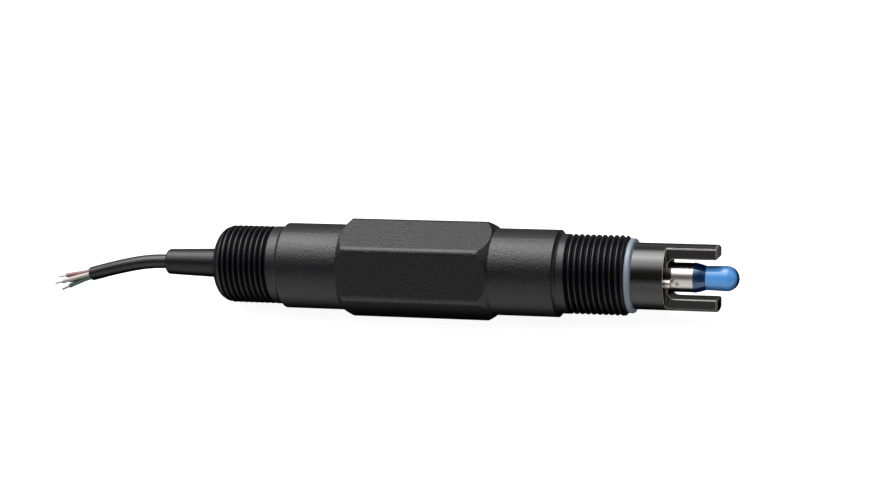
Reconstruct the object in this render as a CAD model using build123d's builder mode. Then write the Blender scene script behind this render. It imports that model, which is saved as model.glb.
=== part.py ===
"""Screw-in digital pH electrode: threaded moulded housing, forked guard, glass bulb, board and cable.

Millimetres. The sensor's axis is X and its glass bulb points along +X. It lies on one flat of its
hexagon, with Z up. The origin is on the axis, where the front thread starts.
"""

import math
import os

from build123d import *

# Threads, both ends alike
thread_diameter = 27.0
thread_pitch = 2.0
thread_depth = 1.2
thread_root_flat = 0.3
thread_flank_angle = 30.0
thread_run_out = 0.8
thread_lead = 1.83
thread_start_turn = -150.0
cutter_overrun = 0.15

# Housing outline, from the rear face to the front face
housing_length = 146.3
rear_thread_length = 18.8
rear_edge_radius = 5.7
rear_face_radius = 8.75
rear_neck_length = 5.0
collar_step_length = 1.45
collar_step_hollow = 0.3
rear_collar_length = 21.4
collar_diameter = 29.6
hex_rear_chamfer = 2.4
hex_front_chamfer = 3.7
hex_chamfer_bulge = 0.25
hex_across_flats = 30.2
hex_corner_radius = 2.5
front_collar_length = 21.8
front_neck_length = 3.9
front_thread_length = 18.6
front_thread_chamfer = 1.1

# Housing cavity
rear_wall = 4.5
rear_bore_radius = 8.5
rear_bore_length = 20.0
rear_bore_step = 1.0
main_bore_radius = 9.5
guard_bore_radius = 10.25
guard_bore_length = 27.0
guide_rib_width = 2.2
guide_rib_height = 1.2

# Clearances
slip_gap = 0.15
thin_gap = 0.05

# Guard and its prongs
seal_ring_thickness = 2.1
seal_ring_radius = 12.6
seal_ring_round = 0.8
guard_radius = 11.2
guard_tube_length = 10.95
guard_spigot_length = 24.0
guard_cup_radius = 8.7
guard_bulkhead = 12.0
guard_slot_step = 0.55
prong_length = 17.05
prong_half_width = 4.56
prong_inner_height = 6.65
slot_corner_radius = 2.4
prong_tip_edge = 0.45
prong_side_edge = 0.3
oring_thickness = 0.84
oring_groove_depth = 0.8
oring_groove_width = 1.2
oring_spacing = 5.0
oring_setback = 6.0

# Electrode stem and glass
stem_radius = 4.95
stem_wall = 0.7
stem_reach = 8.85
stem_back = 32.75
bead_thickness = 0.25
bead_length = 1.1
glass_wall = 0.6
glass_tube_radius = 2.5
bulb_radius = 4.25
bulb_neck_radius = 4.05
bulb_length = 10.8
bulb_shoulder_length = 1.1
seal_length = 4.1
seal_root_radius = 5.1
seal_bulge = 0.08
plug_length = 5.0
plug_setback = 1.0
plug_socket_depth = 3.0
wire_radius = 0.35
inner_wire_reach = 2.0
coated_tip_radius = 0.7
coated_tip_length = 8.0
reference_wire_offset = 3.3
reference_wire_end = 8.0
buffer_length = 42.0
junction_radius = 0.65
junction_setback = 5.2
junction_angle = -18.0

# Temperature pin
pin_radius = 1.55
pin_wall = 0.4
pin_reach = 2.05
pin_near_offset = 6.85
pin_down_offset = -1.25
pin_tip_edge = 0.4
pin_tail = 1.0
element_length = 3.0
element_width = 1.2
element_thickness = 0.8
pin_lead_spread = 0.5

# Potting and the sensor's own leads
front_potting_length = 14.0
rear_potting_length = 8.5
sensor_lead_radius = 0.4
sensor_lead_straight = 4.0
cable_lead_straight = 2.5

# Circuit board and what stands on it
board_length = 64.0
board_width = 17.0
board_thickness = 1.6
board_drop = 2.0
board_setback = 8.0
connector_length = 6.0
connector_width = 13.0
connector_height = 4.0
connector_margin = 2.0
terminal_pitch = 3.5
processor_size = 9.0
processor_height = 1.4
processor_place = 0.42
small_chip_length = 4.9
small_chip_width = 3.9
small_chip_height = 1.5
transceiver_place = 0.22
amplifier_place = 0.72
amplifier_side = 3.0
regulator_length = 6.5
regulator_width = 3.5
regulator_height = 1.7
regulator_place = 0.24
chip_side = 4.4
quartz_length = 4.0
quartz_width = 10.5
quartz_height = 3.5
quartz_place = 0.57
capacitor_length = 2.0
capacitor_width = 1.25
capacitor_height = 1.1
capacitor_pitch = 2.6
capacitor_rows = 3
capacitor_columns = 2

# Cable and its boot
boot_length = 20.5
boot_root_radius = 5.15
boot_end_radius = 4.45
boot_end_round = 1.3
boot_flange_radius = 8.3
boot_flange_thickness = 3.0
cable_radius = 2.5
cable_tail = 4.0
core_radius = 0.8
core_ring_radius = 1.15
core_straight = 3.4
tip_radius = 0.42
tip_length = 3.6

# Each stripped core: its turn round the cable's end, its spread where it ends, and its length
red_core = (129.0, 1.9, 11.4)
white_core = (39.0, 1.5, 12.2)
green_core = (-51.0, 2.1, 10.9)
black_core = (-141.0, 1.7, 11.8)

# Route of the free cable from the boot's end: how far back, and how far down
cable_route = [(0, 0), (4.0, 0), (10.5, -0.85), (17.2, -2.5), (24.4, -4.6), (31.2, -6.85)]
arc_share = 0.45

# Stations along the axis, from the origin at the front thread's start
front_face = front_thread_length
front_neck_start = -front_neck_length
front_collar_end = front_neck_start - collar_step_length
front_collar_start = front_collar_end - front_collar_length
hex_flat_end = front_collar_start - hex_front_chamfer
rear_face = front_face - housing_length
rear_thread_end = rear_face + rear_thread_length
rear_neck_end = rear_thread_end + rear_neck_length
rear_collar_start = rear_neck_end + collar_step_length
rear_collar_end = rear_collar_start + rear_collar_length
hex_flat_start = rear_collar_end + hex_rear_chamfer
cavity_start = rear_face + rear_wall
guard_bore_start = front_face - guard_bore_length
guard_shoulder = front_face + seal_ring_thickness
tube_end = guard_shoulder + guard_tube_length
slot_floor = tube_end + guard_slot_step
prong_end = tube_end + prong_length
bulkhead_back = slot_floor - guard_bulkhead
spigot_start = front_face - guard_spigot_length
stem_end = tube_end + stem_reach
stem_start = tube_end - stem_back
seal_end = stem_end + seal_length
bulb_tip = seal_end + bulb_length
plug_back = stem_start + plug_setback
plug_front = plug_back + plug_length
glass_back = plug_front - plug_socket_depth
glass_neck = seal_end - bulb_shoulder_length
inner_wire_end = seal_end + inner_wire_reach
pin_end = tube_end + pin_reach
potting_back = bulkhead_back - front_potting_length
pin_start = potting_back - pin_tail
element_back = pin_end - pin_wall - element_length
boot_end = rear_face - boot_length
flange_front = cavity_start + boot_flange_thickness
rear_potting_front = flange_front + rear_potting_length
cable_inner_end = rear_potting_front + cable_tail
board_start = cavity_start + rear_bore_length + board_setback
board_end = board_start + board_length
board_top = -board_drop
terminal_height = board_top + connector_height / 2
cable_terminals = board_start + connector_margin
sensor_terminals = board_end - connector_margin

# Radii that follow from others
thread_radius = thread_diameter / 2
thread_root_radius = thread_radius - thread_depth
neck_mid_step = (thread_radius + collar_diameter / 2) / 2 - collar_step_hollow
collar_radius = collar_diameter / 2
hex_side = hex_across_flats / math.sqrt(3)
hex_tip_radius = hex_side - hex_corner_radius * (1 / math.cos(math.radians(30)) - 1)
spigot_radius = guard_bore_radius - slip_gap
stem_bore_radius = stem_radius + slip_gap
stem_inner_radius = stem_radius - stem_wall
bead_radius = stem_radius + thin_gap + bead_thickness

# The prongs stand towards two corners of the hexagon, the pin towards the flat between them
prong_direction = Vector(0, math.cos(math.radians(60)), math.sin(math.radians(60)))
pin_direction = Vector(1, 0, 0).cross(prong_direction)


def across(station):
    """The plane across the axis, with its x along Y and its y along Z."""
    return Plane(origin=(station, 0, 0), x_dir=(0, 1, 0), z_dir=(1, 0, 0))


def fork(station):
    """The plane across the axis, with its x towards a prong and its y towards the pin."""
    return Plane(origin=(station, 0, 0), x_dir=prong_direction, z_dir=(1, 0, 0))


def ring(start, end, outer, inner):
    """A plain round sleeve on the axis."""
    with BuildPart() as piece:
        with BuildSketch(across(start)):
            Circle(outer)
            Circle(inner, mode=Mode.SUBTRACT)
        extrude(amount=end - start)
    return piece


def thread_groove(start, length):
    """The helical V that a thread leaves out, swept along the root."""
    over = thread_depth + cutter_overrun
    half_root = thread_root_flat / 2
    half_top = half_root + over * math.tan(math.radians(thread_flank_angle))
    root_line = Helix(
        pitch=thread_pitch, height=length, radius=thread_root_radius, center=(start, 0, 0), direction=(1, 0, 0)
    )
    foot = root_line @ 0
    profile_plane = Plane(origin=foot, x_dir=(0, foot.Y, foot.Z), z_dir=root_line % 0)
    with BuildPart() as groove:
        with BuildSketch(profile_plane):
            with BuildLine():
                Polyline((0, -half_root), (over, -half_top), (over, half_top), (0, half_root), close=True)
            make_face()
        sweep(path=root_line, is_frenet=True)
    return groove.part


def threaded_end(neck_length, length, corner):
    """A neck and its thread, from the collar's step to the free end, which the corner cutter turns down."""
    with BuildPart() as end:
        with BuildSketch(across(-neck_length)):
            Circle(thread_radius)
        extrude(amount=neck_length + length)
        add(thread_groove(-thread_lead, length + thread_lead - thread_run_out), mode=Mode.SUBTRACT)
        add(corner, mode=Mode.SUBTRACT)
    return end.part


def rounded_route(points):
    """Straight runs joined by arcs as large as the runs allow, with the radii used."""
    radii = []
    for before, corner, after in zip(points, points[1:], points[2:]):
        run_in = Vector(corner) - Vector(before)
        run_out = Vector(after) - Vector(corner)
        half_turn = math.radians(run_in.get_angle(run_out)) / 2
        radii.append(arc_share * min(run_in.length, run_out.length) / math.tan(half_turn))
    return FilletPolyline(*points, radius=radii), radii


# Hexagon: a rounded prism whose ends are turned down to the collars
chamfer_middle = (collar_radius + hex_tip_radius) / 2 + hex_chamfer_bulge
with BuildPart() as hexagon:
    with BuildSketch(across(rear_collar_end)) as hex_outline:
        RegularPolygon(hex_side, 6)
        fillet(hex_outline.vertices(), hex_corner_radius)
    extrude(amount=front_collar_start - rear_collar_end)
    with BuildSketch(Plane.XZ):
        with BuildLine():
            Polyline(
                (front_collar_start, 0),
                (rear_collar_end, 0),
                (rear_collar_end, collar_radius),
                (hex_flat_start, hex_tip_radius + thin_gap),
                (hex_flat_end, hex_tip_radius + thin_gap),
            )
            ThreePointArc(
                (hex_flat_end, hex_tip_radius + thin_gap),
                ((hex_flat_end + front_collar_start) / 2, chamfer_middle),
                (front_collar_start, collar_radius),
            )
            Line((front_collar_start, collar_radius), (front_collar_start, 0))
        make_face()
    revolve(axis=Axis.X, mode=Mode.INTERSECT)

# What is turned off the two free ends: a chamfer in front, a large rounding at the rear
cutter_radius = thread_diameter
with BuildPart() as front_corner:
    with BuildSketch(Plane.XZ):
        with BuildLine():
            Polyline(
                (front_thread_length - front_thread_chamfer, thread_radius),
                (front_thread_length, thread_root_radius),
                (front_thread_length + thread_pitch, thread_root_radius),
                (front_thread_length + thread_pitch, cutter_radius),
                (front_thread_length - front_thread_chamfer, cutter_radius),
                close=True,
            )
        make_face()
    revolve(axis=Axis.X)

with BuildPart() as rear_corner:
    with BuildSketch(Plane.XZ):
        with BuildLine():
            RadiusArc(
                (rear_thread_length - rear_edge_radius, thread_radius),
                (rear_thread_length, rear_face_radius),
                rear_edge_radius,
            )
            Polyline(
                (rear_thread_length, rear_face_radius),
                (rear_thread_length + thread_pitch, rear_face_radius),
                (rear_thread_length + thread_pitch, cutter_radius),
                (rear_thread_length - rear_edge_radius, cutter_radius),
                (rear_thread_length - rear_edge_radius, thread_radius),
            )
        make_face()
    revolve(axis=Axis.X)

# Housing: turned outline, hexagon, cavity, card guides and the two cut threads
guide_rib_reach = main_bore_radius + guide_rib_height / 4 - guide_rib_width / 2
guide_rib_above = board_top + slip_gap + guide_rib_height / 2
guide_rib_below = board_top - board_thickness - slip_gap - guide_rib_height / 2
guide_rib_places = [
    (side * guide_rib_reach, height) for side in (-1, 1) for height in (guide_rib_above, guide_rib_below)
]
with BuildPart() as body_housing:
    with BuildSketch(Plane.XZ):
        with BuildLine():
            ThreePointArc(
                (rear_neck_end, thread_radius),
                ((rear_neck_end + rear_collar_start) / 2, neck_mid_step),
                (rear_collar_start, collar_radius),
            )
            Line((rear_collar_start, collar_radius), (front_collar_end, collar_radius))
            ThreePointArc(
                (front_collar_end, collar_radius),
                ((front_collar_end + front_neck_start) / 2, neck_mid_step),
                (front_neck_start, thread_radius),
            )
            Polyline(
                (front_neck_start, thread_radius),
                (front_neck_start, 0),
                (rear_neck_end, 0),
                (rear_neck_end, thread_radius),
            )
        make_face()
    revolve(axis=Axis.X)
    add(hexagon.part)
    add(
        Location((0, 0, 0), (thread_start_turn, 0, 0))
        * threaded_end(front_neck_length, front_thread_length, front_corner.part)
    )
    add(
        Location((rear_thread_end, 0, 0), (0, 0, 180))
        * Location((0, 0, 0), (thread_start_turn, 0, 0))
        * threaded_end(rear_neck_length, rear_thread_length, rear_corner.part)
    )
    with BuildSketch(Plane.XZ):
        with BuildLine():
            Polyline(
                (rear_face, 0),
                (rear_face, boot_root_radius + slip_gap),
                (cavity_start, boot_root_radius + slip_gap),
                (cavity_start, rear_bore_radius),
                (cavity_start + rear_bore_length, rear_bore_radius),
                (cavity_start + rear_bore_length + rear_bore_step, main_bore_radius),
                (guard_bore_start, main_bore_radius),
                (guard_bore_start, guard_bore_radius),
                (front_face, guard_bore_radius),
                (front_face, 0),
                close=True,
            )
        make_face()
    revolve(axis=Axis.X, mode=Mode.SUBTRACT)
    with BuildSketch(across(board_start)):
        with Locations(*guide_rib_places):
            Rectangle(guide_rib_width, guide_rib_height)
    extrude(amount=board_length)

# Seal ring: a soft washer between the housing's face and the guard's shoulder
with BuildPart() as front_seal_ring:
    with BuildSketch(Plane.XZ) as washer:
        with Locations((front_face, spigot_radius + slip_gap)):
            Rectangle(
                seal_ring_thickness, seal_ring_radius - spigot_radius - slip_gap, align=(Align.MIN, Align.MIN)
            )
        fillet(washer.vertices().group_by(Axis.Y)[-1], seal_ring_round)
    revolve(axis=Axis.X)

# Guard: spigot and tube in one, a bulkhead with two holes, and two prongs left by a slot and two flats
slot_plane = Plane(origin=(slot_floor, 0, 0), x_dir=(1, 0, 0), z_dir=pin_direction)
flat_width = guard_radius - prong_half_width
oring_grooves = [front_face - oring_setback - index * oring_spacing for index in (0, 1)]
with BuildPart() as sensor_guard:
    with BuildSketch(Plane.XZ):
        with BuildLine():
            Polyline(
                (spigot_start, 0),
                (spigot_start, spigot_radius),
                (guard_shoulder, spigot_radius),
                (guard_shoulder, guard_radius),
                (prong_end, guard_radius),
                (prong_end, 0),
                close=True,
            )
        make_face()
    revolve(axis=Axis.X)
    with BuildSketch(across(spigot_start)):
        Circle(guard_cup_radius)
    extrude(amount=bulkhead_back - spigot_start, mode=Mode.SUBTRACT)
    for station in oring_grooves:
        with BuildSketch(across(station)):
            Circle(spigot_radius + slip_gap)
            Circle(spigot_radius - oring_groove_depth, mode=Mode.SUBTRACT)
        extrude(amount=-oring_groove_width, mode=Mode.SUBTRACT)
    with BuildSketch(slot_plane) as slot:
        Rectangle(prong_length, 2 * prong_inner_height, align=(Align.MIN, Align.CENTER))
        fillet(slot.vertices().group_by(Axis.X)[0], slot_corner_radius)
    extrude(amount=guard_radius, both=True, mode=Mode.SUBTRACT)
    with BuildSketch(fork(tube_end)):
        with Locations(
            (0, prong_half_width + flat_width / 2),
            (0, -prong_half_width - flat_width / 2),
        ):
            Rectangle(2 * guard_radius, flat_width)
    extrude(amount=prong_length, mode=Mode.SUBTRACT)
    prong_sides = sensor_guard.edges().filter_by(Axis.X).filter_by_position(Axis.X, slot_floor, prong_end)
    chamfer(prong_sides, prong_side_edge)
    chamfer(sensor_guard.faces().group_by(Axis.X)[-1].edges(), prong_tip_edge)
    with BuildSketch(fork(bulkhead_back)):
        Circle(stem_bore_radius)
        with Locations((pin_down_offset, pin_near_offset)):
            Circle(pin_radius + thin_gap)
    extrude(amount=guard_bulkhead, mode=Mode.SUBTRACT)
    with BuildSketch(across(tube_end)):
        Circle(bead_radius + thin_gap)
    extrude(amount=guard_slot_step + bead_length, mode=Mode.SUBTRACT)

with BuildPart() as guard_orings:
    with BuildSketch(Plane.XZ):
        with Locations(
            *[
                (
                    station - oring_groove_width / 2,
                    spigot_radius - oring_groove_depth + thin_gap + oring_thickness / 2,
                )
                for station in oring_grooves
            ]
        ):
            Circle(oring_thickness / 2)
    revolve(axis=Axis.X)

# Stem: a polished sleeve with a porous plug in its wall
junction_station = stem_end - junction_setback
junction_turn = math.radians(junction_angle)
junction_out = pin_direction * math.cos(junction_turn) + prong_direction * math.sin(junction_turn)
junction_plane = Plane(origin=(junction_station, 0, 0), x_dir=(1, 0, 0), z_dir=junction_out)
with BuildPart() as stem_sleeve:
    with BuildSketch(across(stem_start)):
        Circle(stem_radius)
        Circle(stem_inner_radius, mode=Mode.SUBTRACT)
    extrude(amount=stem_end - stem_start)
    with BuildSketch(junction_plane):
        Circle(junction_radius + thin_gap)
    extrude(amount=stem_radius * 1.1, mode=Mode.SUBTRACT)

with BuildPart() as junction_plug:
    with BuildSketch(junction_plane.offset(stem_inner_radius)):
        Circle(junction_radius)
    extrude(amount=stem_wall - thin_gap)

stem_bead = ring(tube_end, slot_floor + bead_length, bead_radius, stem_radius + thin_gap)


def glass_outline(back, inset):
    """Half the outline of the blown glass, or of the space inside it when inset by its wall."""
    with BuildSketch(Plane.XZ) as outline:
        with BuildLine():
            Polyline(
                (bulb_tip - inset, 0),
                (back, 0),
                (back, glass_tube_radius - inset),
                (glass_neck, glass_tube_radius - inset),
                (seal_end, bulb_neck_radius - inset),
                (bulb_tip - bulb_radius, bulb_radius - inset),
            )
            RadiusArc(
                (bulb_tip - bulb_radius, bulb_radius - inset), (bulb_tip - inset, 0), bulb_radius - inset
            )
        make_face()
    return outline.sketch


# Glass: bulb and inner tube, blown as one piece
with BuildPart() as glass_electrode:
    revolve(glass_outline(glass_back, 0), axis=Axis.X)
    revolve(glass_outline(glass_back, glass_wall), axis=Axis.X, mode=Mode.SUBTRACT)

with BuildPart() as inner_electrode:
    with BuildSketch(across(plug_back)):
        Circle(wire_radius)
    extrude(amount=inner_wire_end - plug_back)
    with BuildSketch(across(inner_wire_end)):
        Circle(coated_tip_radius)
    extrude(amount=-coated_tip_length)

buffer_back = bulb_tip - buffer_length
with BuildPart() as buffer_fill:
    revolve(glass_outline(buffer_back, glass_wall + thin_gap), axis=Axis.X)
    with BuildSketch(across(buffer_back)):
        Circle(wire_radius + thin_gap)
    extrude(amount=inner_wire_end - buffer_back, mode=Mode.SUBTRACT)
    with BuildSketch(across(inner_wire_end + thin_gap)):
        Circle(coated_tip_radius + thin_gap)
    extrude(amount=-coated_tip_length - 2 * thin_gap, mode=Mode.SUBTRACT)

# Seal: a tapered collar from the stem's rim to the bulb
with BuildPart() as bulb_seal:
    with BuildSketch(Plane.XZ):
        with BuildLine():
            Polyline(
                (seal_end - 2 * thin_gap, bulb_neck_radius),
                (glass_neck - 2 * thin_gap, glass_tube_radius + thin_gap),
                (stem_end, glass_tube_radius + thin_gap),
                (stem_end, seal_root_radius),
            )
            ThreePointArc(
                (stem_end, seal_root_radius),
                ((stem_end + seal_end) / 2, (seal_root_radius + bulb_neck_radius) / 2 + seal_bulge),
                (seal_end - 2 * thin_gap, bulb_neck_radius),
            )
        make_face()
    revolve(axis=Axis.X)

# What fills and closes the stem behind the glass
with BuildPart() as reference_gel:
    with BuildSketch(fork(plug_front)):
        Circle(stem_inner_radius - thin_gap)
        Circle(glass_tube_radius + thin_gap, mode=Mode.SUBTRACT)
        with Locations((reference_wire_offset, 0)):
            Circle(wire_radius + thin_gap, mode=Mode.SUBTRACT)
    extrude(amount=stem_end - plug_front)

with BuildPart() as reference_electrode:
    with BuildSketch(fork(plug_back)):
        with Locations((reference_wire_offset, 0)):
            Circle(wire_radius)
    extrude(amount=stem_end - reference_wire_end - plug_back)

with BuildPart() as chamber_plug:
    with BuildSketch(fork(plug_back)):
        Circle(stem_inner_radius - thin_gap)
        with Locations((0, 0), (reference_wire_offset, 0)):
            Circle(wire_radius + thin_gap, mode=Mode.SUBTRACT)
    extrude(amount=plug_length)
    with BuildSketch(across(glass_back)):
        Circle(glass_tube_radius + thin_gap)
    extrude(amount=plug_socket_depth, mode=Mode.SUBTRACT)

# Temperature pin with its element, and the resin that holds pin and stem in the guard
with BuildPart() as temperature_pin:
    with BuildSketch(fork(pin_start)):
        with Locations((pin_down_offset, pin_near_offset)):
            Circle(pin_radius)
    extrude(amount=pin_end - pin_start)
    fillet(temperature_pin.faces().sort_by(Axis.X)[-1].edges(), pin_tip_edge)
    with BuildSketch(fork(pin_start)):
        with Locations((pin_down_offset, pin_near_offset)):
            Circle(pin_radius - pin_wall)
    extrude(amount=pin_end - pin_wall - pin_start, mode=Mode.SUBTRACT)

with BuildPart() as platinum_element:
    with BuildSketch(fork(element_back)):
        with Locations((pin_down_offset, pin_near_offset)):
            Rectangle(element_width, element_thickness)
    extrude(amount=element_length)

with BuildPart() as front_potting:
    with BuildSketch(fork(potting_back)):
        Circle(guard_cup_radius - thin_gap)
        Circle(stem_radius + thin_gap, mode=Mode.SUBTRACT)
        with Locations((pin_down_offset, pin_near_offset)):
            Circle(pin_radius + thin_gap, mode=Mode.SUBTRACT)
    extrude(amount=front_potting_length)

# Circuit board and its parts, all on its upper face
with BuildPart() as circuit_board:
    with BuildSketch(Plane.XY.offset(board_top)):
        with Locations((board_start, 0)):
            Rectangle(board_length, board_width, align=(Align.MIN, Align.CENTER))
    extrude(amount=-board_thickness)


def board_block(place, side, length, width, height):
    """A block on the board, its middle at a share of the board's length."""
    with BuildPart() as block:
        with BuildSketch(Plane.XY.offset(board_top)):
            with Locations((board_start + place * board_length, side)):
                Rectangle(length, width)
        extrude(amount=height)
    return block


def connector_block(start):
    """A four-way terminal block across the board."""
    with BuildPart() as block:
        with BuildSketch(Plane.XY.offset(board_top)):
            with Locations((start, 0)):
                Rectangle(connector_length, connector_width, align=(Align.MIN, Align.CENTER))
        extrude(amount=connector_height)
    return block


processor = board_block(processor_place, 0, processor_size, processor_size, processor_height)
bus_transceiver = board_block(
    transceiver_place, chip_side, small_chip_length, small_chip_width, small_chip_height
)
voltage_regulator = board_block(
    regulator_place, -chip_side, regulator_length, regulator_width, regulator_height
)
quartz = board_block(quartz_place, 0, quartz_length, quartz_width, quartz_height)
input_amplifier = board_block(
    amplifier_place, -amplifier_side, small_chip_length, small_chip_width, small_chip_height
)
cable_connector = connector_block(cable_terminals)
sensor_connector = connector_block(sensor_terminals - connector_length)

with BuildPart() as chip_capacitors:
    with BuildSketch(Plane.XY.offset(board_top)):
        with Locations((board_start + amplifier_place * board_length, amplifier_side)):
            with GridLocations(capacitor_pitch, capacitor_pitch, capacitor_columns, capacitor_rows):
                Rectangle(capacitor_length, capacitor_width)
    extrude(amount=capacitor_height)

# Leads from the stem and the pin to the front terminals
pin_middle = pin_direction * pin_near_offset + prong_direction * pin_down_offset
pin_spread = prong_direction * pin_lead_spread
reference_middle = prong_direction * reference_wire_offset
sensor_lead_starts = [
    (element_back, pin_start, pin_middle - pin_spread),
    (element_back, pin_start, pin_middle + pin_spread),
    (plug_back, plug_back, Vector(0, 0, 0)),
    (plug_back, plug_back, reference_middle),
]
terminal_sides = [(index - 1.5) * terminal_pitch for index in range(4)]
sensor_lead_routes = [
    rounded_route(
        [
            (foot, middle.Y, middle.Z),
            (free - sensor_lead_straight, middle.Y, middle.Z),
            (sensor_terminals + sensor_lead_straight, side, terminal_height),
            (sensor_terminals, side, terminal_height),
        ]
    )[0]
    for (foot, free, middle), side in zip(sensor_lead_starts, terminal_sides)
]
with BuildPart() as sensor_leads:
    for route in sensor_lead_routes:
        with BuildSketch(Plane(origin=route @ 0, z_dir=route % 0)):
            Circle(sensor_lead_radius)
        sweep(path=route)

# Leads from the cable to the rear terminals, lower cores to the outer ones
core_half = core_ring_radius / math.sqrt(2)
cable_lead_starts = [
    (-core_half, -core_half),
    (-core_half, core_half),
    (core_half, core_half),
    (core_half, -core_half),
]
lead_middle = (cable_inner_end + cable_terminals) / 2
cable_lead_routes = [
    rounded_route(
        [
            (cable_inner_end, y, z),
            (cable_inner_end + cable_lead_straight, y, z),
            (lead_middle + cable_lead_straight, side, z),
            (cable_terminals - cable_lead_straight / 2, side, terminal_height),
            (cable_terminals, side, terminal_height),
        ]
    )[0]
    for (y, z), side in zip(cable_lead_starts, terminal_sides)
]
with BuildPart() as cable_leads:
    for route in cable_lead_routes:
        with BuildSketch(Plane(origin=route @ 0, z_dir=route % 0)):
            Circle(core_radius)
        sweep(path=route)

# Cable boot: a tapered moulding held by its flange inside the housing
with BuildPart() as cable_boot:
    with BuildSketch(Plane.XZ) as boot_outline:
        with BuildLine():
            Polyline(
                (boot_end, cable_radius + thin_gap),
                (boot_end, boot_end_radius),
                (rear_face, boot_root_radius),
                (cavity_start, boot_root_radius),
                (cavity_start, boot_flange_radius),
                (flange_front, boot_flange_radius),
                (flange_front, cable_radius + thin_gap),
                close=True,
            )
        make_face()
        fillet(boot_outline.vertices().group_by(Axis.X)[0].sort_by(Axis.Y)[-1], boot_end_round)
    revolve(axis=Axis.X)

rear_potting = ring(flange_front, rear_potting_front, rear_bore_radius - thin_gap, cable_radius + thin_gap)

with BuildPart() as cable_inner:
    with BuildSketch(across(boot_end)):
        Circle(cable_radius)
    extrude(amount=cable_inner_end - boot_end)

# Free cable and its stripped cores
cable_points = [(boot_end - back, 0, down) for back, down in cable_route]
cable_line, cable_radii = rounded_route(cable_points)
with BuildPart() as cable_jacket:
    with BuildSketch(Plane(origin=cable_line @ 0, z_dir=cable_line % 0)):
        Circle(cable_radius)
    sweep(path=cable_line)
print("cable radii", [round(radius, 1) for radius in cable_radii], "length", round(cable_line.length, 2))
print("cable volume", cable_jacket.part.volume, "by section", math.pi * cable_radius**2 * cable_line.length)

cable_end = Plane(origin=cable_line @ 1, x_dir=(0, -1, 0), z_dir=cable_line % 1)


def stripped_core(angle, spread, length):
    """One core from the jacket's end, fanning out a little, with the plane at its own end."""
    turn = math.radians(angle)
    route, radii = rounded_route(
        [
            cable_end.from_local_coords((radius * math.cos(turn), radius * math.sin(turn), ahead))
            for radius, ahead in (
                (core_ring_radius, 0),
                (core_ring_radius, core_straight),
                (spread, length),
            )
        ]
    )
    with BuildPart() as core:
        with BuildSketch(Plane(origin=route @ 0, z_dir=route % 0)):
            Circle(core_radius)
        sweep(path=route)
    return core, Plane(origin=route @ 1, z_dir=route % 1)


core_red, red_end = stripped_core(*red_core)
core_white, white_end = stripped_core(*white_core)
core_green, green_end = stripped_core(*green_core)
core_black, black_end = stripped_core(*black_core)

with BuildPart() as core_tips:
    for end_plane in (red_end, white_end, green_end, black_end):
        with BuildSketch(end_plane):
            Circle(tip_radius)
        extrude(amount=tip_length)

pieces = {
    "body_housing": body_housing,
    "front_seal_ring": front_seal_ring,
    "sensor_guard": sensor_guard,
    "guard_orings": guard_orings,
    "stem_sleeve": stem_sleeve,
    "junction_plug": junction_plug,
    "stem_bead": stem_bead,
    "glass_electrode": glass_electrode,
    "inner_electrode": inner_electrode,
    "buffer_fill": buffer_fill,
    "bulb_seal": bulb_seal,
    "reference_gel": reference_gel,
    "reference_electrode": reference_electrode,
    "chamber_plug": chamber_plug,
    "temperature_pin": temperature_pin,
    "platinum_element": platinum_element,
    "front_potting": front_potting,
    "circuit_board": circuit_board,
    "processor": processor,
    "bus_transceiver": bus_transceiver,
    "voltage_regulator": voltage_regulator,
    "quartz": quartz,
    "input_amplifier": input_amplifier,
    "cable_connector": cable_connector,
    "sensor_connector": sensor_connector,
    "chip_capacitors": chip_capacitors,
    "sensor_leads": sensor_leads,
    "cable_leads": cable_leads,
    "cable_boot": cable_boot,
    "rear_potting": rear_potting,
    "cable_inner": cable_inner,
    "cable_jacket": cable_jacket,
    "core_red": core_red,
    "core_green": core_green,
    "core_white": core_white,
    "core_black": core_black,
    "core_tips": core_tips,
}

os.makedirs("parts", exist_ok=True)
for label, piece in pieces.items():
    piece.part.label = label
    export_step(piece.part, f"parts/{label}.step")
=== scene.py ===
"""Looks of the screw-in pH electrode: materials, light, camera and the free cord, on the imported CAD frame."""

import math

import bpy
from mathutils import Matrix, Vector


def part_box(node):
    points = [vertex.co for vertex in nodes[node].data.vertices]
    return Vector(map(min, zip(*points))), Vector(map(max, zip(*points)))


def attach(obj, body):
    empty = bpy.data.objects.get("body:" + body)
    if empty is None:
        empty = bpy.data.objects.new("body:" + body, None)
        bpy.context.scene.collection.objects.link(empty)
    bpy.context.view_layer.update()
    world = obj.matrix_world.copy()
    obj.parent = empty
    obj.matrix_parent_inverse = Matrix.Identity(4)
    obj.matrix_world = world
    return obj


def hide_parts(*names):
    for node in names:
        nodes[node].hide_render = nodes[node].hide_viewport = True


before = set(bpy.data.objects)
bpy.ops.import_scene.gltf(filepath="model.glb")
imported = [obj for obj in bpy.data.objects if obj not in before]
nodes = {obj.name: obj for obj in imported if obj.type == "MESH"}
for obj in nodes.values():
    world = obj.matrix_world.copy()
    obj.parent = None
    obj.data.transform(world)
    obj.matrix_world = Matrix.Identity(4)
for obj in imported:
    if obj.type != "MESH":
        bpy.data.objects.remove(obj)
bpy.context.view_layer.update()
scene = bpy.context.scene

# Lengths are in metres, noise scales in features per metre.
EDGE_RADIUS = 0.0003
EDGE_SAMPLES = 6
NOISE_DETAIL = 2.0
PATCH_SCALE = 90.0

# Painted shade: the thread's grooves lose gloss and look darker than its crests, from the root outwards, but
# not at the rear end's rounding.
GROOVE_DARK_RADIUS = 0.0122
GROOVE_LIT_RADIUS = 0.0129
GROOVE_SHADE_GLOSS = 0.05
REAR_ROUNDING = (-0.1252, -0.1262)

GUARD_BLACK = (0.0008, 0.0004, 0.0002)
# Colour of the painted highlight along the guard's edges.
GUARD_EDGE_HIGHLIGHT = (0.4, 0.375, 0.34)
# How far the rounded and the flat normal agree where the painted edge highlight starts, and where it is full.
EDGE_HIGHLIGHT_SPAN = (0.992, 0.965)

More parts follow.
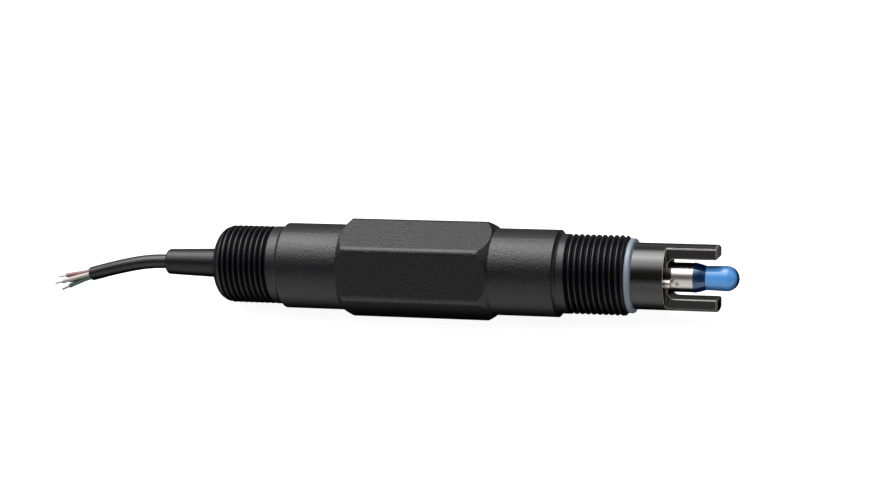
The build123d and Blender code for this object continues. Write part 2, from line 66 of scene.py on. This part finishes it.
GLASS_BLUE = (0.035, 0.13, 0.3)
# Colour of the painted shade on the rim round the bulb's closed end.
GLASS_RIM_SHADE_BLUE = (0.002, 0.008, 0.016)
# Colour of the painted glow in the bulb.
GLASS_PAINTED_GLOW = (0.07, 0.262, 0.6)
# Painted glow through the bulb, from where it faces the eye to its rim.
GLASS_PAINTED_GLOW_STOPS = [(0.0, 0.5), (0.05, 0.56), (0.17, 0.5), (0.3, 0.3), (0.5, 0.12), (0.7, 0.05), (1.0, 0.02)]
# Painted shade: the rim of the bulb's closed end is thick and painted dark between these two.
GLASS_RIM_SHADE = (0.28, 0.44)

PAPER_WHITE = 0.93
PAPER_GREY = 0.3
MIRROR_GAIN = 1.5
# Reflections show a painted shadow on the floor, dark beside the part and pale this far in front of it.
MIRROR_DEPTH = 0.06
MIRROR_SHADOW_STOPS = [
    (0.0, 0.002), (0.07, 0.003), (0.133, 0.009), (0.21, 0.08), (0.313, 0.58), (0.49, 0.85), (1.0, 0.74),
]

SKY_PEAK = 11.0
# Light round the part's long axis, by degrees from straight up towards the front.
SKY = [
    (-90, 0.35), (-72, 0.3), (-56, 0.5), (-51, 1.1), (-46, 2.6), (-37, 6.2), (-27, 8.2), (-17, 10.2),
    (-7, 7.4), (5, 4.7), (13, 3.7), (21, 1.9), (31, 0.4), (39, 0.16), (50, 0.09), (62, 0.12), (69, 0.45),
    (80, 1.1), (100, 1.1),
]


class Tree:
    """A short way to add and link shader nodes."""

    def __init__(self, owner):
        owner.use_nodes = True
        self.tree = owner.node_tree
        self.tree.nodes.clear()

    def add(self, kind, inputs=None, **settings):
        """Adds a node with its settings, and values or links for its inputs."""
        node = self.tree.nodes.new("ShaderNode" + kind)
        for key, value in settings.items():
            setattr(node, key, value)
        for key, value in (inputs or {}).items():
            self.feed(node.inputs[key], value)
        return node

    def feed(self, socket, value):
        """Links a socket or a node to an input, or sets the input's value."""
        if isinstance(value, bpy.types.NodeSocket):
            self.tree.links.new(value, socket)
        elif isinstance(value, bpy.types.Node):
            self.tree.links.new(value.outputs[0], socket)
        else:
            socket.default_value = value

    def math(self, operation, first, second=0.0):
        """The result of a Math node."""
        return self.add("Math", {0: first, 1: second}, operation=operation).outputs[0]

    def remap(self, value, start, end, low=0.0, high=1.0):
        """Low at start, high at end, straight between them and level beyond."""
        inputs = {"Value": value, "From Min": start, "From Max": end, "To Min": low, "To Max": high}
        return self.add("MapRange", inputs).outputs[0]

    def blend(self, factor, first, second):
        """The first colour at 0, the second at 1."""
        inputs = {"Factor": factor, "A": (*first, 1.0), "B": (*second, 1.0)}
        return self.add("Mix", inputs, data_type="RGBA").outputs["Result"]

    def ramp(self, factor, stops):
        """A colour ramp through stops of place and grey level or colour."""
        node = self.add("ValToRGB", {"Fac": factor})
        node.color_ramp.interpolation = "LINEAR"
        elements = node.color_ramp.elements
        while len(elements) < len(stops):
            elements.new(0.5)
        for element, (place, value) in zip(elements, stops):
            element.position = place
            shade = value if isinstance(value, tuple) else (value, value, value)
            element.color = (*shade, 1.0)
        return node.outputs[0]

    def axes(self, coordinates):
        """The X, Y and Z of a point in object or generated coordinates."""
        point = self.add("TexCoord").outputs[coordinates]
        return self.add("SeparateXYZ", {"Vector": point}).outputs

    def finish(self, kind, shader):
        """Ends the tree in its output node."""
        self.feed(self.add(kind).inputs["Surface"], shader)


def principled(name, color, roughness, metallic=0.0, ior=1.5):
    """A Principled material, with its tree and shader for more nodes."""
    material = bpy.data.materials.new(name)
    tree = Tree(material)
    inputs = {"Base Color": (*color, 1.0), "Roughness": roughness, "Metallic": metallic, "IOR": ior}
    shader = tree.add("BsdfPrincipled", inputs)
    tree.finish("OutputMaterial", shader)
    return material, tree, shader


def add_painted_glow(shader, color):
    """Painted glow, the same all over a piece: light it gives off as if lit through, though it is no lamp."""
    shader.inputs["Emission Color"].default_value = (*color, 1.0)
    shader.inputs["Emission Strength"].default_value = 1.0


def add_grain(tree, shader, scale, strength, distance):
    """Fine moulded grain, stronger in patches. Gives its bump node and specked gloss for more nodes."""
    point = tree.add("TexCoord").outputs["Object"]
    noise = tree.add("TexNoise", {"Vector": point, "Scale": scale, "Detail": NOISE_DETAIL}).outputs[0]
    patches = tree.add("TexNoise", {"Vector": point, "Scale": PATCH_SCALE, "Detail": NOISE_DETAIL})
    strength = tree.math("MULTIPLY", tree.remap(patches.outputs[0], 0.4, 0.65, 0.25, 1.0), strength)
    bump = tree.add("Bump", {"Height": noise, "Strength": strength, "Distance": distance})
    gloss = tree.remap(noise, 0.3, 0.7, 0.41, 0.59)
    tree.feed(shader.inputs["Specular IOR Level"], gloss)
    tree.feed(shader.inputs["Normal"], bump)
    return bump, gloss


def dress(material, *names):
    """Gives CAD nodes a material."""
    for name in names:
        mesh = nodes[name].data
        mesh.materials.clear()
        mesh.materials.append(material)


# Body: black moulded plastic with edges that shade as if rounded
body, tree, shader = principled("body", (0.0011, 0.0009, 0.002), 0.38, ior=1.44)
bump, gloss = add_grain(tree, shader, 1500.0, 1.0, 0.00019)
tree.feed(bump.inputs["Normal"], tree.add("Bevel", {"Radius": EDGE_RADIUS}, samples=EDGE_SAMPLES))
along, side, height = tree.axes("Object")
across = tree.add("CombineXYZ", {"Y": side, "Z": height})
radius = tree.add("VectorMath", {0: across}, operation="LENGTH").outputs["Value"]
# Painted shade in the thread's grooves: less gloss towards the root.
groove_shade = tree.remap(radius, GROOVE_DARK_RADIUS, GROOVE_LIT_RADIUS, GROOVE_SHADE_GLOSS, 1.0)
lit = tree.math("MAXIMUM", groove_shade, tree.remap(along, *REAR_ROUNDING))
tree.feed(shader.inputs["Specular IOR Level"], tree.math("MULTIPLY", gloss, lit))
dress(body, "body_housing")

# Rear end: boot and cable
boot, tree, shader = principled("boot", (0.003, 0.003, 0.003), 0.34, ior=1.36)
add_grain(tree, shader, 1800.0, 0.25, 0.00005)
dress(boot, "cable_boot")
cable, tree, shader = principled("cable", (0.001, 0.0012, 0.001), 0.34, ior=1.44)
add_grain(tree, shader, 1500.0, 0.2, 0.00005)
dress(cable, "cable_inner")

# Front end: ring with a painted glow, guard with painted highlights on its edges, and what it shields
ring, tree, shader = principled("seal_ring", (0.115, 0.145, 0.18), 0.34)
# The ring gets a painted glow, the same all over it.
add_painted_glow(shader, (0.042, 0.048, 0.058))
dress(ring, "front_seal_ring")

guard, tree, shader = principled("guard", GUARD_BLACK, 0.09, ior=1.56)
rounded = tree.add("Bevel", {"Radius": EDGE_RADIUS}, samples=EDGE_SAMPLES)
tree.feed(shader.inputs["Normal"], rounded)
normal = tree.add("NewGeometry").outputs["Normal"]
likeness = tree.add("VectorMath", {0: rounded, 1: normal}, operation="DOT_PRODUCT").outputs["Value"]
# Painted highlight: the guard's edges take a pale colour where the rounded normal leaves the flat one.
painted_edge_highlight = tree.blend(tree.remap(likeness, *EDGE_HIGHLIGHT_SPAN), GUARD_BLACK, GUARD_EDGE_HIGHLIGHT)
tree.feed(shader.inputs["Base Color"], painted_edge_highlight)
dress(guard, "sensor_guard")

steel, tree, shader = principled("polished_steel", (0.48, 0.46, 0.425), 0.23, metallic=1.0)
dress(steel, "stem_sleeve")
bright, tree, shader = principled("bright_pin", (0.5, 0.47, 0.42), 0.3, metallic=1.0)
dress(bright, "temperature_pin")

seal, tree, shader = principled("seal", (0.002, 0.01, 0.04), 0.055, ior=2.0)
shader.inputs["Specular Tint"].default_value = (0.5, 0.78, 1.0, 1.0)
# The seal gets a faint painted glow, as if lit through.
add_painted_glow(shader, (0.0004, 0.002, 0.016))
dress(seal, "bulb_seal")

# Glass: blue, with a painted glow as if lit from within, and a painted dark rim round its closed end
glass, tree, shader = principled("glass", GLASS_BLUE, 0.06)
facing = tree.add("LayerWeight", {"Blend": 0.5}).outputs["Facing"]
painted_glow_stops = [(place, tuple(level * part for part in GLASS_PAINTED_GLOW)) for place, level in GLASS_PAINTED_GLOW_STOPS]
tree.feed(shader.inputs["Emission Color"], tree.ramp(facing, painted_glow_stops))
normal = tree.add("NewGeometry").outputs["Normal"]
# Painted shade round the closed end: less glow, a darker colour and less gloss on its rim.
end = tree.math("MULTIPLY", facing, tree.add("SeparateXYZ", {"Vector": normal}).outputs["X"])
clear = tree.remap(end, *GLASS_RIM_SHADE, 1.0, 0.04)
tree.feed(shader.inputs["Emission Strength"], clear)
tree.feed(shader.inputs["Base Color"], tree.blend(clear, GLASS_RIM_SHADE_BLUE, GLASS_BLUE))
tree.feed(shader.inputs["Specular IOR Level"], tree.remap(end, *GLASS_RIM_SHADE, 0.5, 0.1))
dress(glass, "glass_electrode")

# Plain pieces: name, colour, roughness, metallic and the nodes that have it
plain = [
    ("black_rubber", (0.002, 0.002, 0.002), 0.3, 0.0, "guard_orings stem_bead rear_potting front_potting"),
    ("silver", (0.75, 0.74, 0.72), 0.3, 1.0, "inner_electrode reference_electrode quartz"),
    ("porous", (0.5, 0.48, 0.43), 0.7, 0.0, "junction_plug platinum_element reference_gel chamber_plug"),
    ("buffer", (0.1, 0.3, 0.7), 0.2, 0.0, "buffer_fill"),
    ("board", (0.02, 0.16, 0.06), 0.35, 0.0, "circuit_board"),
    ("chip", (0.02, 0.02, 0.02), 0.5, 0.0, "processor bus_transceiver voltage_regulator input_amplifier"),
    ("pale_plastic", (0.6, 0.6, 0.56), 0.5, 0.0,
     "cable_connector sensor_connector chip_capacitors sensor_leads cable_leads"),
    ("core_red", (0.21, 0.11, 0.11), 0.4, 0.0, "core_red"),
    ("core_green", (0.09, 0.18, 0.14), 0.4, 0.0, "core_green"),
    ("core_white", (0.38, 0.35, 0.31), 0.4, 0.0, "core_white"),
    ("core_black", (0.03, 0.03, 0.03), 0.4, 0.0, "core_black"),
    ("tinned", (0.62, 0.6, 0.56), 0.35, 0.9, "core_tips"),
]
for name, color, roughness, metallic, wearers in plain:
    material, tree, shader = principled(name, color, roughness, metallic)
    dress(material, *wearers.split())

# Free cord: one smooth spline through the route of the CAD tube, as millimetres back and down from the boot
boot_end = (-0.1482, 0.0, 0.0)
cord_route = [(0, 0), (4.0, 0), (10.5, -0.85), (17.2, -2.5), (24.4, -4.6), (31.2, -6.85)]
curve = bpy.data.curves.new("free_cable", "CURVE")
curve.dimensions = "3D"
curve.bevel_depth = 0.0025
curve.bevel_resolution = 12
curve.resolution_u = 24
curve.use_fill_caps = True
spline = curve.splines.new("NURBS")
spline.points.add(len(cord_route) - 1)
for point, (back, down) in zip(spline.points, cord_route):
    point.co = (boot_end[0] - back / 1000, 0.0, down / 1000, 1.0)
spline.order_u = 3
spline.use_endpoint_u = True
jacket = bpy.data.objects.new("free_cable", curve)
scene.collection.objects.link(jacket)
curve.materials.append(cable)
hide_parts("cable_jacket")
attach(jacket, "root")

# Floor: white to the eye, grey to the light, and graded in reflections with a painted shadow beside the part
floor_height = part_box("body_housing")[0][2]
bpy.ops.mesh.primitive_plane_add(size=6.0, location=(0, 0, floor_height - 0.00002))
floor = bpy.context.object
floor.name = "floor"
paper = bpy.data.materials.new("paper")
tree = Tree(paper)
path = tree.add("LightPath").outputs
seen = tree.math("MAXIMUM", path["Is Camera Ray"], path["Is Transmission Ray"])
along, side, _ = tree.axes("Object")
# The painted shadow's dark strip reaches further forward under the wide body than under the guard and the boot.
shadow_reach = tree.math("MULTIPLY", tree.remap(along, 0.02, 0.01), 0.0033)
out = tree.math("SUBTRACT", tree.math("ADD", side, shadow_reach), tree.remap(along, -0.126, -0.13, 0.0, 0.0025))
# Painted shadow and light seen only in reflections: the floor dark beside the part, pale in front, a little
# paler behind.
painted_shadow_reflection = tree.ramp(tree.math("DIVIDE", out, -MIRROR_DEPTH), MIRROR_SHADOW_STOPS)
painted_shadow_reflection = tree.math("ADD", painted_shadow_reflection, tree.remap(side, 0.01, 0.03, 0.0, 0.07))
painted_shadow_reflection = tree.math("MULTIPLY", tree.math("MULTIPLY", painted_shadow_reflection, MIRROR_GAIN), path["Is Glossy Ray"])
shown = tree.math("MAXIMUM", tree.math("MULTIPLY", seen, PAPER_WHITE), painted_shadow_reflection)
glow = tree.add("Emission", {"Color": (1, 1, 1, 1), "Strength": shown})
shade = tree.math("MULTIPLY", tree.math("SUBTRACT", 1.0, path["Is Glossy Ray"]), PAPER_GREY)
diffuse = tree.add("BsdfDiffuse", {"Color": shade})
tree.finish("OutputMaterial", tree.add("AddShader", {0: glow, 1: diffuse}))
floor.data.materials.append(paper)

# Light: a long softbox above and behind, dark in front of it, pale low in front, fading towards both ends
world = bpy.data.worlds.new("studio")
scene.world = world
tree = Tree(world)
along, side, height = tree.axes("Generated")
angle = tree.math("ARCTAN2", tree.math("MULTIPLY", side, -1.0), height)
place = tree.math("ADD", tree.math("DIVIDE", angle, math.tau), 0.5)
level = tree.ramp(place, [(turn / 360 + 0.5, value / SKY_PEAK) for turn, value in SKY])
reach = tree.math("ABSOLUTE", tree.math("ADD", along, 0.3))
fade = tree.remap(reach, 0.3, 0.62, 1.0, 0.12)
strength = tree.math("MULTIPLY", tree.math("MULTIPLY", level, SKY_PEAK), fade)
path = tree.add("LightPath").outputs
white = tree.add("Background", {"Color": (1, 1, 1, 1), "Strength": 1.0})
light = tree.add("Background", {"Color": (1, 1, 1, 1), "Strength": strength})
seen = tree.math("MAXIMUM", path["Is Camera Ray"], path["Is Transmission Ray"])
seen = tree.math("MAXIMUM", seen, tree.math("MULTIPLY", path["Is Glossy Ray"], 0.06))
tree.finish("OutputWorld", tree.add("MixShader", {0: seen, 1: light, 2: white}))

# Camera: solved for the photograph, 888 x 500
camera_data = bpy.data.cameras.new("camera")
camera_data.sensor_width = 36.0
camera_data.lens = 93.243
camera_data.clip_start = 0.01
camera = bpy.data.objects.new("camera", camera_data)
scene.collection.objects.link(camera)
right = Vector((0.959423, 0.235346, -0.155307))
up = Vector((-0.027244, 0.625584, 0.779681))
turned = Matrix((right, up, right.cross(up))).transposed().to_4x4()
camera.matrix_world = Matrix.Translation((0.174578, -0.581715, 0.483179)) @ turned
scene.camera = camera
scene.view_settings.view_transform = "Standard"
